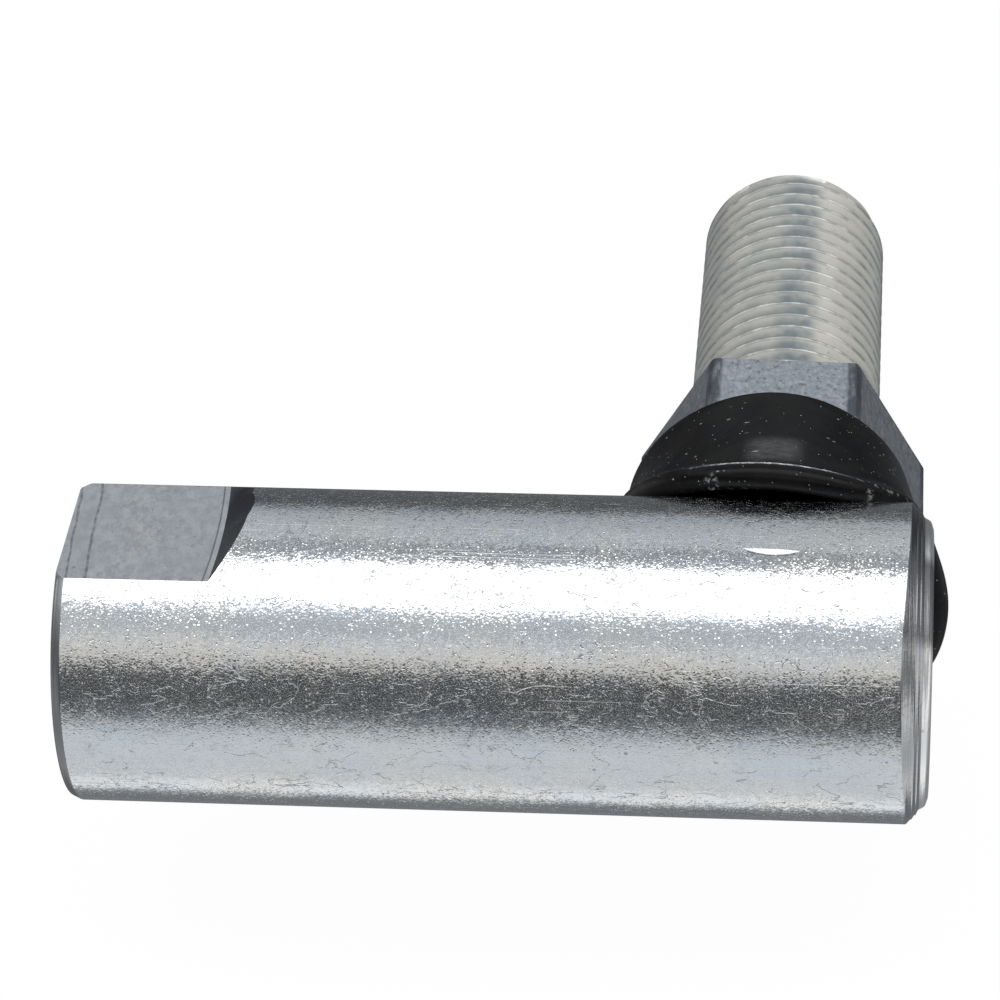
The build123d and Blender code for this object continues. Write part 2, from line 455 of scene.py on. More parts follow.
# ---------------------------------------------------------------- boot
# Round the boot, in degrees from +Z towards +X, the same on both sides of the barrel: how high the
# middle of the lip's bead is, how far it is from the stud's axis, and the radius of the rim. The
# bead lies on the barrel and drops over its closed end, where the rim above it is drawn in.
BEAD_LINE = (
    (-90, 9.7), (-60, 8.4), (-45, 7.1), (-30, 5.7), (-15, 4.8), (0, 4.45), (15, 4.4), (30, 4.8),
    (42, 5.8), (52, 6.4), (62, 5.5), (68, 5.1), (90, 5.0),
)
BEAD_OUT_LINE = ((-90, 9.0), (43, 9.0), (50, 9.17), (55, 9.17), (61, 8.93), (68, 8.86), (90, 8.86))
RIM_LINE = ((-90, 8.72), (0, 8.76), (20, 8.52), (36, 8.22), (55, 8.0), (78, 7.6), (90, 7.55))
BOOT_TOP = 13.4
BOOT_HOLE_R = 3.46
RIM_ROUND = 0.2
BEAD_R = 0.75


def round_boot(line, angle, passes):
    """Value of one of the boot's lines at each angle, smoothed along the ring."""
    fold = np.degrees(np.arcsin(np.clip(np.sin(angle), -1, 1)))
    table = np.array(line)
    value = np.interp(fold, table[:, 0], table[:, 1])
    for _ in range(passes):
        value = 0.25 * np.roll(value, 1) + 0.5 * value + 0.25 * np.roll(value, -1)
    return value


def build_boot(materials):
    columns = 240
    angle = np.linspace(0, 2 * math.pi, columns, endpoint=False)
    bead = round_boot(BEAD_LINE, angle, 24)
    bead_out = round_boot(BEAD_OUT_LINE, angle, 24)
    rim = round_boot(RIM_LINE, angle, 60)
    rows = [(BOOT_TOP, BOOT_HOLE_R), (BOOT_TOP, 5.0), (BOOT_TOP, rim - 0.7)]
    for k in range(5):
        t = math.radians(90 * k / 4)
        rows.append((BOOT_TOP - RIM_ROUND * (1 - math.cos(t)), rim - RIM_ROUND * (1 - math.sin(t))))
    # skirt, with a fillet that runs out onto the bead
    skirt_top = BOOT_TOP - RIM_ROUND
    bead_top = bead + BEAD_R * 0.75
    turn_y = np.minimum(bead_top + 1.6, skirt_top - 0.5)
    join_r = bead_out + BEAD_R * 0.55
    drawn_in = np.clip((8.76 - rim) / 1.2, 0, 1)
    turn_r = 8.74 + 0.25 * drawn_in
    for share in np.linspace(0, 1, 10)[1:]:
        waist = 0.1 * math.sin(math.pi * share) * (1 - drawn_in)
        rows.append((skirt_top + (turn_y - skirt_top) * share, rim + (turn_r - rim) * share - waist))
    flare = 2.6 - 1.3 * drawn_in
    for share in np.linspace(0, 1, 9)[1:-1]:
        rows.append((turn_y + (bead_top - turn_y) * share, turn_r + (join_r - turn_r) * share**flare))
    for degrees in np.linspace(52, -90, 12):
        t = math.radians(degrees)
        rows.append((bead + BEAD_R * math.sin(t), bead_out + BEAD_R * math.cos(t)))
    # inside of the lip and of the skirt, and the underside of the roof
    rows.append((bead - BEAD_R, 8.75 + 0 * angle))
    rows.append((bead - BEAD_R + 0.15, 8.5 + 0 * angle))
    inner = np.minimum(8.15, rim - 0.5)
    rows.append((bead + 0.6, inner))
    roof = BOOT_TOP - 1.45
    for share in np.linspace(0, 1, 7)[1:]:
        top = np.maximum(roof - 0.35, bead + 0.7)
        rows.append((bead + 0.6 + (top - bead - 0.6) * share, inner - 0.75 * share))
    rows.append((np.maximum(roof, bead + 0.75), 6.6))
    rows += [(roof + 0.6 * (bead > roof - 0.75), 5.2), (roof, BOOT_HOLE_R)]
    points = np.concatenate([about_stud(y + 0 * angle, r + 0 * angle, angle) for y, r in rows])
    faces = grid_faces(len(rows), columns, closed_rows=True)
    return add_mesh("boot_skin", points, faces, materials, smooth_angle=50)


# ---------------------------------------------------------------- end plug
def build_plug(materials):
    face = BARREL_LENGTH - 0.16
    outline = rounded(
        [
            (45.0, 0, 0),
            (45.0, 6.96, 0.1),
            (45.9, 6.96, 0.1),
            (face, 6.5, 0.15),
            (face, 0.9, 0.1),
            (face - 0.45, 0, 0),
        ],
        steps=3,
    )
    return lathe("plug_face", outline, about_barrel, materials)


# ---------------------------------------------------------------- materials
NICK_X = 0.05  # middle of the nick, along the barrel from the ball's centre
NICK_AROUND = -1.9  # from +Z towards +Y, round the barrel


def link(tree, value, socket):
    if isinstance(value, bpy.types.NodeSocket):
        tree.links.new(value, socket)
    else:
        socket.default_value = value


def math_node(tree, operation, a, b=0.0, clamp=False):
    node = tree.nodes.new("ShaderNodeMath")
    node.operation = operation
    node.use_clamp = clamp
    for value, socket in zip((a, b), node.inputs):
        link(tree, value, socket)
    return node.outputs[0]


class Shader:
    """Builds one node material. Positions are the row frame's, in millimetres."""

    def __init__(self, name):
        self.material = bpy.data.materials.new(name)
        self.material.use_nodes = True
        self.tree = self.material.node_tree
        self.surface = self.tree.nodes["Principled BSDF"]
        coordinates = self.tree.nodes.new("ShaderNodeTexCoord")
        self.place = coordinates.outputs["Object"]
        self.place = self.stretch((1000, 1000, 1000))

    def link(self, value, socket):
        link(self.tree, value, socket)

    def stretch(self, scale, offset=(0, 0, 0), turn=(0, 0, 0)):
        """The object's places, stretched, turned and moved, for a pattern to follow."""
        node = self.tree.nodes.new("ShaderNodeMapping")
        self.link(self.place, node.inputs["Vector"])
        node.inputs["Scale"].default_value = scale
        node.inputs["Location"].default_value = offset
        node.inputs["Rotation"].default_value = turn
        return node.outputs["Vector"]

    def moved(self, *offset):
        return self.stretch((1, 1, 1), offset)

    def math(self, operation, a, b=0.0, clamp=False):
        return math_node(self.tree, operation, a, b, clamp)

    def times(self, a, b):
        return self.math("MULTIPLY", a, b)

    def plus(self, a, b, clamp=False):
        return self.math("ADD", a, b, clamp=clamp)

    def minus(self, a, b):
        return self.math("SUBTRACT", a, b)

    def larger(self, a, b):
        return self.math("MAXIMUM", a, b)

    def close_to(self, value, at, reach, core, far=0.0, close=1.0):
        """close where value is within core of at, far where it is beyond reach, smooth between."""
        return self.fade(self.math("ABSOLUTE", self.minus(value, at)), reach, core, far, close)

    def split(self, vector=None):
        node = self.tree.nodes.new("ShaderNodeSeparateXYZ")
        self.link(self.place if vector is None else vector, node.inputs[0])
        return node.outputs

    def join(self, x, y, z):
        node = self.tree.nodes.new("ShaderNodeCombineXYZ")
        for value, socket in zip((x, y, z), node.inputs):
            self.link(value, socket)
        return node.outputs[0]

    def noise(self, scale, detail=2.0, rough=0.5, vector=None, warp=0.0):
        node = self.tree.nodes.new("ShaderNodeTexNoise")
        self.link(self.place if vector is None else vector, node.inputs["Vector"])
        node.inputs["Scale"].default_value = scale
        node.inputs["Detail"].default_value = detail
        node.inputs["Roughness"].default_value = rough
        node.inputs["Distortion"].default_value = warp
        return node.outputs["Fac"]

    def cells(self, scale, vector=None):
        node = self.tree.nodes.new("ShaderNodeTexVoronoi")
        self.link(self.place if vector is None else vector, node.inputs["Vector"])
        node.inputs["Scale"].default_value = scale
        return node.outputs

    def fade(self, value, low, high, out_low=0.0, out_high=1.0):
        """out_low below low, out_high above high, smooth between; low may be above high."""
        node = self.tree.nodes.new("ShaderNodeMapRange")
        node.interpolation_type = "SMOOTHSTEP"
        if low > high:
            low, high, out_low, out_high = high, low, out_high, out_low
        self.link(value, node.inputs["Value"])
        node.inputs["From Min"].default_value = low
        node.inputs["From Max"].default_value = high
        node.inputs["To Min"].default_value = out_low
        node.inputs["To Max"].default_value = out_high
        return node.outputs["Result"]

    def mix(self, share, a, b):
        """Colour a, with share of it turned to colour b."""
        node = self.tree.nodes.new("ShaderNodeMix")
        node.data_type = "RGBA"
        self.link(share, node.inputs["Factor"])
        for value, side in ((a, "A"), (b, "B")):
            socket = [s for s in node.inputs if s.name == side and s.type == "RGBA"][0]
            self.link((*value, 1.0) if isinstance(value, tuple) else value, socket)
        return [s for s in node.outputs if s.type == "RGBA"][0]

    def bump(self, height, distance, normal=None):
        """distance is the height in millimetres that a height of 1 stands for."""
        node = self.tree.nodes.new("ShaderNodeBump")
        node.inputs["Strength"].default_value = 1.0
        node.inputs["Distance"].default_value = distance * MM
        self.link(height, node.inputs["Height"])
        if normal is not None:
            self.link(normal, node.inputs["Normal"])
        return node.outputs["Normal"]

    def threads_of(self, scale, width, vector=None, warp=0.0, detail=1.0):
        """Thin wandering lines, where a noise passes through its middle."""
        wave = self.noise(scale, detail, 0.5, vector, warp)
        return self.close_to(wave, 0.5, width, 0.0)

    def facets(self, scale):
        """Height in millimetres that slopes another way in each cell, by up to a half."""
        cell = self.cells(scale)
        height = None
        centres, ways = self.split(cell["Position"]), self.split(cell["Color"])
        for at, centre, way in zip(self.split(), centres, ways):
            part = self.times(self.minus(at, centre), self.minus(way, 0.5))
            height = part if height is None else self.plus(height, part)
        return height

    def set(self, **values):
        """Sets the shader's sockets, with _ for each space in a name; returns the material."""
        for name, value in values.items():
            self.link(value, self.surface.inputs[name.replace("_", " ")])
        return self.material


def zinc_bar():
    """Bright zinc on drawn bar, peened by tumbling, with a few dents, scratches and stains."""
    s = Shader("zinc_bar")
    x, y, z = s.split()
    patches = s.noise(0.2, 3.0, 0.6)
    amount = s.fade(patches, 0.3, 0.7, 0.65, 1.2)
    peened = s.cells(5.0)
    pit = s.fade(peened["Distance"], 0.0, 0.42)
    pit = s.times(pit, s.fade(s.split(peened["Color"])[0], 0.45, 1.0, 0.3, 1.9))
    normal = s.bump(s.times(pit, amount), 0.0105)
    normal = s.bump(s.times(s.facets(7.0), amount), 0.085, normal)
    fine = s.cells(6.6, vector=s.moved(3, 1, 8))["Distance"]
    normal = s.bump(s.times(s.fade(fine, 0.0, 0.5), amount), 0.005, normal)
    normal = s.bump(s.noise(5.5, 3.0, 0.6), 0.004, normal)
    normal = s.bump(s.noise(0.5, 1.0, 0.5, s.stretch((0.3, 1, 1))), 0.03, normal)
    # lines of the drawing die
    drawn = s.noise(1.0, 2.0, 0.5, s.stretch((0.06, 8, 8)))
    normal = s.bump(s.fade(drawn, 0.70, 0.74), 0.004, normal)
    # scratches, pits and stains
    where = s.fade(s.noise(0.27, 1.0, 0.5, s.moved(11, 4, 2)), 0.56, 0.66)
    scratches = s.threads_of(0.32, 0.0035, s.stretch((0.8, 1.3, 1.3)), 0.35, 2.0)
    scratches = s.times(scratches, where)
    wander = s.threads_of(0.5, 0.008, s.stretch((0.7, 1.2, 1.2), (21, 8, 5)), 0.5, 4.0)
    patchy = s.noise(0.6, 3.0, 0.6, s.moved(2, 14, 6))
    wander = s.times(wander, s.fade(patchy, 0.45, 0.55))
    pits = s.fade(s.cells(0.75, vector=s.moved(7, 5, 3))["Distance"], 0.10, 0.05)
    pits = s.times(pits, s.fade(s.noise(0.5, 1.0), 0.52, 0.58))
    specks = s.noise(1.9, 3.5, 0.7, s.stretch((0.8, 1, 1), (3, 9, 4)))
    specks = s.fade(specks, 0.58, 0.72, 0.0, 0.6)
    specks = s.times(specks, s.fade(s.noise(0.4, 2.0, 0.5), 0.42, 0.6, 0.3, 1.0))
    marks = s.larger(s.larger(s.larger(s.times(scratches, 0.8), pits), specks), wander)
    normal = s.bump(marks, -0.012, normal)
    tone = s.mix(s.fade(patches, 0.35, 0.65), (0.595, 0.625, 0.655), (0.64, 0.645, 0.635))
    tone = s.mix(s.fade(s.noise(0.9, 3.0, 0.6), 0.35, 0.7, 0.0, 0.3), tone, (0.56, 0.585, 0.595))
    blots = s.noise(0.9, 4.0, 0.7, s.stretch((0.8, 1, 1), (31, 17, 2)))
    tone = s.mix(s.fade(blots, 0.58, 0.68, 0.0, 0.35), tone, (0.44, 0.45, 0.42))
    tone = s.mix(s.times(marks, 0.6), tone, (0.2, 0.21, 0.2))
    # a nick below the boot, rubbed bright, with a dark lower edge
    around = s.times(s.math("ARCTAN2", y, z), BARREL_R)
    nick_x = s.minus(x, BALL_X + NICK_X)
    squared = s.times(nick_x, nick_x)
    bow = s.minus(s.times(squared, 0.06), s.times(nick_x, 0.03))
    nick_y = s.plus(s.minus(NICK_AROUND, around), bow)
    half = s.minus(0.22, s.times(squared, 0.085))
    inside = s.fade(s.minus(half, s.math("ABSOLUTE", nick_y)), 0.0, 0.035)
    lower = s.close_to(s.minus(nick_y, half), 0.05, 0.075, 0.02)
    lower = s.times(lower, s.close_to(nick_x, 0.0, 1.5, 1.2))
    tone = s.mix(s.times(lower, 0.6), tone, (0.2, 0.2, 0.19))
    tone = s.mix(inside, tone, (0.98, 0.98, 0.97))
    roughness = s.fade(s.noise(1.3, 3.0, 0.6), 0.3, 0.7, 0.09, 0.14)
    roughness = s.plus(roughness, s.times(marks, 0.12))
    roughness = s.plus(roughness, s.times(inside, 0.55), clamp=True)
    return s.set(Base_Color=tone, Metallic=1.0, Roughness=roughness, Normal=normal)


def milled_flat():
    """Milled wrench flat: matte and finely mottled, with two scribed lines near the rod end."""
    s = Shader("milled_flat")
    x, y, _ = s.split()
    wobble = s.times(s.minus(s.noise(0.35, 2.0), 0.5), 0.5)
    along = s.plus(s.plus(x, wobble), s.times(y, 0.055))
    lines = None
    for at, width in ((0.3, 0.10), (1.4, 0.12)):
        near = s.close_to(along, at, width, width * 0.2)
        near = s.times(near, s.fade(s.noise(2.4, 3.0, 0.6), 0.3, 0.6, 0.35, 1.0))
        lines = near if lines is None else s.larger(lines, near)
    bowed = s.times(s.times(y, y), FLAT_END_BOW)
    beside = s.minus(s.plus(x, bowed), FLAT_END - 0.14)
    edge = s.close_to(beside, 0.0, 0.06, 0.02)
    border = s.fade(beside, 0.03, 0.12, 0.0, 0.45)
    mottle = s.noise(2.6, 5.0, 0.7, s.stretch((1.0, 0.6, 1)))
    clouds = s.noise(0.45, 2.0, 0.5)
    specks = s.fade(s.noise(4.2, 2.0, 0.6), 0.66, 0.74)
    marks = s.larger(s.larger(s.times(lines, 0.75), s.times(edge, 0.75)), s.times(specks, 0.45))
    where = s.fade(s.noise(0.5, 1.0), 0.52, 0.6, 0.0, 0.4)
    scuffs = s.times(s.threads_of(0.5, 0.004, warp=0.4), where)
    marks = s.larger(marks, scuffs)
    tone = s.mix(s.fade(mottle, 0.35, 0.65), (0.41, 0.42, 0.44), (0.56, 0.57, 0.58))
    tone = s.mix(s.fade(clouds, 0.35, 0.65, 0.0, 0.5), tone, (0.47, 0.485, 0.51))
    tone = s.mix(s.times(border, 0.4), tone, (0.58, 0.59, 0.6))
    tone = s.mix(s.times(marks, 0.85), tone, (0.10, 0.11, 0.14))
    normal = s.bump(s.noise(6.0, 3.0, 0.6, s.stretch((1.6, 0.5, 1))), 0.007)
    normal = s.bump(marks, -0.02, normal)
    roughness = s.fade(mottle, 0.3, 0.7, 0.36, 0.44)
    return s.set(Base_Color=tone, Metallic=0.95, Roughness=roughness, Normal=normal)


def slope_face():
    """Slope that the cutter left at the end of a flat: coloured nearly black, painted shade for the dark
    reflection it shows.
    """
    s = Shader("flat_slope")
    grain = s.noise(2.0, 3.0, 0.6, s.stretch((3, 0.6, 1)))
    tone = s.mix(grain, (0.055, 0.06, 0.07), (0.10, 0.105, 0.115))
    chips = s.fade(s.noise(1.6, 2.0, 0.6), 0.68, 0.74, 0.0, 0.6)
    tone = s.mix(chips, tone, (0.4, 0.42, 0.44))
    return s.set(Base_Color=tone, Metallic=1.0, Roughness=0.34, Normal=s.bump(grain, 0.01))


def turned_face(name, tone_a, tone_b, roughness, painted_shade_arc=None):
    """Face turned about the barrel's axis: fine rings with darker grooves. A dark arc of painted shade
    covers the directions between the two angles given last, in degrees from +Z towards +Y."""
    s = Shader(name)
    x, y, z = s.split()
    radius = s.math("SQRT", s.plus(s.times(y, y), s.times(z, z)))
    rings = s.noise(1.0, 3.0, 0.6, s.join(s.times(radius, 7.0), s.times(x, 7.0), 0.0))
    blotch = s.noise(0.8, 4.0, 0.6)
    tone = s.mix(s.plus(s.times(rings, 0.7), s.times(blotch, 0.3)), tone_a, tone_b)
    grime = s.fade(s.noise(1.9, 3.0, 0.7), 0.6, 0.72, 0.0, 0.5)
    tone = s.mix(grime, tone, (0.2, 0.2, 0.2))
    # painted shade: a dark arc over the directions between the two angles
    if painted_shade_arc:
        first, last = painted_shade_arc
        around = s.times(s.math("ARCTAN2", y, z), 180 / math.pi)
        tint_share = s.times(s.fade(around, first - 4, first + 4), s.fade(around, last + 4, last - 4))
        tone = s.mix(s.times(tint_share, 0.85), tone, (0.10, 0.105, 0.115))
    normal = s.bump(rings, 0.03)
    normal = s.bump(s.noise(4.0, 2.0), 0.012, normal)
    return s.set(Base_Color=tone, Metallic=1.0, Roughness=roughness, Normal=normal)


def around_stud(s):
    """Distance from the stud's axis, and the angle in degrees from +Z towards +X."""
    x, _, z = s.split()
    dx = s.minus(x, BALL_X)
    radius = s.math("SQRT", s.plus(s.times(dx, dx), s.times(z, z)))
    return radius, s.times(s.math("ARCTAN2", dx, z), 180 / math.pi)


def thread_steel():
    """Rolled thread under thin zinc: warm pale grey, with painted shade in the grooves, a painted lit
    band along the top, painted shade on both sides and on the flanks that face the tip, and a painted
    blue-grey reflection along the middle of the top.
    """
    s = Shader("thread_zinc")
    radius, angle = around_stud(s)
    groove = s.times(s.fade(radius, 5.4, 5.0), s.fade(radius, 4.35, 4.65, 0.5, 1.0))
    blotch = s.noise(0.45, 4.0, 0.65)
    tone = s.mix(s.fade(blotch, 0.35, 0.65), (0.50, 0.52, 0.50), (0.60, 0.59, 0.555))
    # painted shade: the grooves are darkened to a mottled blue-grey
    groove_shade = s.times(groove, s.fade(s.noise(1.2, 3.0, 0.6), 0.3, 0.6, 0.35, 0.8))
    tone = s.mix(groove_shade, tone, (0.26, 0.28, 0.27))
    # painted shade: the flanks that face the tip are darker; a crest is at a whole number of pitches
    turn = s.minus(s.math("DIVIDE", s.split()[1], PITCH), s.math("DIVIDE", angle, 360.0))
    phase = s.math("FRACT", s.plus(turn, 0.12))
    flank_shade = s.times(s.fade(phase, 0.0, 0.06), s.fade(phase, 0.62, 0.5))
    # none of what follows reaches the flat end of the stud
    thread = s.fade(radius, 4.35, 4.65)
    # painted light: a lighter band along the top of the thread, a little round towards +X
    painted_lit_side = s.close_to(angle, 34.0, 32.0, 8.0, close=0.75)
    tone = s.mix(s.times(painted_lit_side, thread), tone, (0.80, 0.785, 0.74))
    # painted shade: the thread's sides, round towards +X and -X, are darker
    right, left = s.fade(angle, 58.0, 86.0, 0.0, 0.7), s.fade(angle, -34.0, -76.0, 0.0, 0.7)
    tone = s.mix(s.times(right, thread), tone, (0.30, 0.315, 0.31))
    tone = s.mix(s.times(left, thread), tone, (0.25, 0.27, 0.265))
    # how strongly the flanks' painted shade shows, in patches
    patchy = s.times(s.fade(s.noise(1.0, 2.0, 0.6), 0.35, 0.6, 0.3, 0.75), thread)
    tone = s.mix(s.times(flank_shade, patchy), tone, (0.16, 0.17, 0.165))
    # painted reflection: a darker blue-grey strip along the middle of the top
    painted_reflection_strip = s.times(s.close_to(angle, 6.0, 17.0, 6.0), thread)
    painted_reflection_strip = s.times(painted_reflection_strip, s.fade(s.noise(0.8, 2.0, 0.6), 0.35, 0.6, 0.3, 0.9))
    tone = s.mix(s.times(painted_reflection_strip, s.fade(radius, 5.55, 5.2, 0.25, 0.85)), tone, (0.20, 0.25, 0.28))
    tone = s.mix(s.fade(s.noise(2.6, 3.0, 0.6), 0.62, 0.72, 0.0, 0.35), tone, (0.28, 0.29, 0.27))
    normal = s.bump(s.noise(5.0, 2.0, 0.6), 0.01)
    roughness = s.fade(blotch, 0.3, 0.7, 0.42, 0.52)
    return s.set(Base_Color=tone, Metallic=0.75, Roughness=roughness, Normal=normal)


def hex_steel():
    """Hexagon under dull zinc: finely mottled blue-grey, darker beside its corners, with painted shade
    on the faces beside the top one.
    """
    s = Shader("hex_zinc")
    radius, angle = around_stud(s)
    streaks = s.noise(1.0, 3.0, 0.65, s.stretch((4.5, 1.4, 4.5)))
    mottle = s.noise(2.4, 4.0, 0.7)
    tone = s.mix(s.fade(streaks, 0.3, 0.7), (0.39, 0.42, 0.46), (0.55, 0.575, 0.61))
    tone = s.mix(s.fade(mottle, 0.38, 0.62, 0.0, 0.75), tone, (0.33, 0.35, 0.38))
    corner = s.fade(radius, 7.93, 8.05)
    uneven = s.noise(1.5, 3.0, 0.6, s.stretch((1.5, 0.4, 1.5)))
    corner = s.times(corner, s.fade(uneven, 0.3, 0.55, 0.35, 0.9))
    tone = s.mix(corner, tone, (0.08, 0.09, 0.11))
    # painted shade: the faces beside the top one are darker
    beside = s.close_to(angle, HEX_TURN, 31.5, 30.0, far=0.35, close=0.0)
    tone = s.mix(beside, tone, (0.12, 0.13, 0.15))
    specks = s.fade(s.cells(2.6)["Distance"], 0.13, 0.05)
    specks = s.times(specks, s.fade(s.noise(1.9, 1.0), 0.5, 0.58))
    tone = s.mix(specks, tone, (0.8, 0.82, 0.84))
    dark = s.noise(3.4, 2.0, 0.6, s.stretch((1, 0.7, 1), (5, 5, 5)))
    tone = s.mix(s.fade(dark, 0.56, 0.7, 0.0, 0.75), tone, (0.17, 0.19, 0.22))
    normal = s.bump(s.noise(5.0, 2.0, 0.6, s.stretch((1, 0.6, 1))), 0.014)
    roughness = s.fade(streaks, 0.3, 0.7, 0.34, 0.44)
    return s.set(Base_Color=tone, Metallic=0.9, Roughness=roughness, Normal=normal)


def ball_steel():
    s = Shader("ball_steel")
    blotch = s.noise(0.7, 3.0, 0.6)
    tone = s.mix(blotch, (0.42, 0.42, 0.43), (0.56, 0.56, 0.56))
    roughness = s.fade(blotch, 0.3, 0.7, 0.16, 0.26)
    normal = s.bump(s.noise(9.0, 2.0), 0.004)
    return s.set(Base_Color=tone, Metallic=1.0, Roughness=roughness, Normal=normal)


def boot_rubber():
    """Black moulded rubber with dusty specks, short pale scuffs and two smears of grease, and a painted
    sheen patch, a painted highlight line and painted glints on the bead.
    """
    s = Shader("boot_rubber_black")
    y = s.split()[1]
    radius, angle = around_stud(s)
    blotch = s.noise(0.35, 4.0, 0.6)
    tone = s.mix(s.fade(blotch, 0.35, 0.7), (0.004, 0.004, 0.0045), (0.009, 0.0088, 0.0088))
    dots = s.fade(s.cells(2.9)["Distance"], 0.12, 0.06)
    dots = s.times(dots, s.fade(s.noise(0.9, 2.0), 0.47, 0.55, 0.0, 0.75))
    dashes = None
    for turn, offset in ((25, 0), (-35, 11), (70, 23)):
        turn = math.radians(turn)
        turned = s.stretch((0.45, 2.6, 2.6), (offset, offset, 0), (0.3, turn, turn))
        near = s.fade(s.cells(0.75, vector=turned)["Distance"], 0.12, 0.06)
        where = s.noise(0.8, 1.0, vector=turned)
        near = s.times(near, s.fade(where, 0.52, 0.58))
        dashes = near if dashes is None else s.larger(dashes, near)
    # painted highlight: the top of the lip's bead, on the side of +Z, has a pale line and a few flecks
    # of painted glint
    off = s.minus(angle, 8.0)
    above = s.minus(s.minus(y, 4.68), s.times(s.times(off, off), 0.0008))
    bead_top = s.times(s.close_to(above, 0.0, 0.17, 0.05), s.fade(radius, 9.42, 9.55))
    bead_top = s.times(bead_top, s.close_to(off, 0.0, 42.0, 34.0))
    flecks = s.noise(3.4, 2.0, 0.6, s.moved(4, 0, 7))
    bead_glints = s.times(bead_top, s.fade(flecks, 0.5, 0.6))
    bead_glints = s.times(bead_glints, s.close_to(angle, 2.0, 24.0, 12.0, far=0.3))
    dust_and_sheen = s.larger(s.larger(dots, s.times(dashes, 0.5)), s.times(bead_glints, 0.8))
    # grease where the lip meets the barrel
    for at, reach, level in ((-22.0, 3.2, 4.5), (33.0, 2.0, 4.6)):
        near = s.times(s.close_to(angle, at, reach, reach * 0.3), s.close_to(y, level, 0.3, 0.05))
        near = s.times(near, s.fade(s.noise(2.6, 3.0, 0.6), 0.5, 0.64))
        dust_and_sheen = s.larger(dust_and_sheen, s.times(near, 0.5))
    # painted sheen: a soft pale patch on the skirt above the bead
    painted_sheen_patch = s.times(s.close_to(angle, -1.0, 13.0, 5.0), s.close_to(y, 7.6, 1.6, 0.5))
    uneven = s.noise(2.0, 3.0, 0.6, s.stretch((1, 2.0, 1)))
    painted_sheen_patch = s.times(painted_sheen_patch, s.fade(uneven, 0.3, 0.6, 0.5, 1.0))
    # painted highlight: a pale line along the top of the bead
    painted_bead_highlight = s.times(bead_top, s.close_to(angle, 0.0, 30.0, 10.0))
    tint_share = s.fade(s.noise(1.4, 5.0, 0.7), 0.6, 0.8, 0.0, 0.015)
    tint_share = s.plus(tint_share, s.times(painted_sheen_patch, 0.09))
    tint_share = s.plus(tint_share, s.times(painted_bead_highlight, 0.4))
    # the pale tone is partly dusty specks, scuffs and grease, partly painted highlight, sheen and glints
    dust_and_sheen = s.plus(s.times(dust_and_sheen, 0.85), tint_share, clamp=True)
    tone = s.mix(dust_and_sheen, tone, (0.55, 0.56, 0.57))
    roughness = s.fade(blotch, 0.3, 0.7, 0.24, 0.32)
    roughness = s.plus(roughness, s.times(dust_and_sheen, 0.4), clamp=True)
    normal = s.bump(s.noise(3.0, 3.0, 0.6), 0.015)
    normal = s.bump(s.noise(0.5, 2.0), 0.06, normal)
    return s.set(Base_Color=tone, Roughness=roughness, Normal=normal, Specular_IOR_Level=0.1)


def seat_acetal():
    s = Shader("seat_acetal")
    cloud = s.noise(0.8, 3.0, 0.6)
    tone = s.mix(cloud, (0.74, 0.73, 0.68), (0.82, 0.81, 0.77))
    return s.set(Base_Color=tone, Roughness=0.4, Normal=s.bump(s.noise(3.0, 3.0), 0.01))


def spring_steel():
    s = Shader("spring_steel")
    _, y, z = s.split()
    radius = s.math("SQRT", s.plus(s.times(y, y), s.times(z, z)))
    rings = s.noise(1.0, 3.0, 0.6, s.join(s.times(radius, 6.0), 0.0, 0.0))
    tone = s.mix(rings, (0.20, 0.19, 0.18), (0.34, 0.33, 0.32))
    return s.set(Base_Color=tone, Metallic=1.0, Roughness=0.32, Normal=s.bump(rings, 0.01))


# ---------------------------------------------------------------- camera, light and floor
def place_camera():
    """Set by matching the outlines of the barrel, boot, hexagon and tip."""
    azimuth, elevation, roll = math.radians(6.251), math.radians(34.492), math.radians(-2.202)
    distance, shift_x, shift_y = 228.5, 14.756, -8.685
    level = math.cos(elevation)
    back = Vector((math.sin(azimuth) * level, -math.cos(azimuth) * level, math.sin(elevation)))
    right = Vector((math.cos(azimuth), math.sin(azimuth), 0))
    up = back.cross(right)
    across = math.cos(roll) * right + math.sin(roll) * up
    upward = -math.sin(roll) * right + math.cos(roll) * up
    camera = bpy.data.objects.new("camera", bpy.data.cameras.new("camera"))
    bpy.context.scene.collection.objects.link(camera)
    centre = Vector((BALL_X, 0, 0))
    camera.location = (centre - shift_x * across - shift_y * upward + distance * back) * MM
    camera.rotation_mode = "QUATERNION"
    camera.rotation_quaternion = Matrix((across, upward, back)).transposed().to_quaternion()
    camera.data.lens = 151.09
    camera.data.sensor_width = 36
    camera.data.clip_start = 0.01
    camera.data.clip_end = 20
    bpy.context.scene.camera = camera


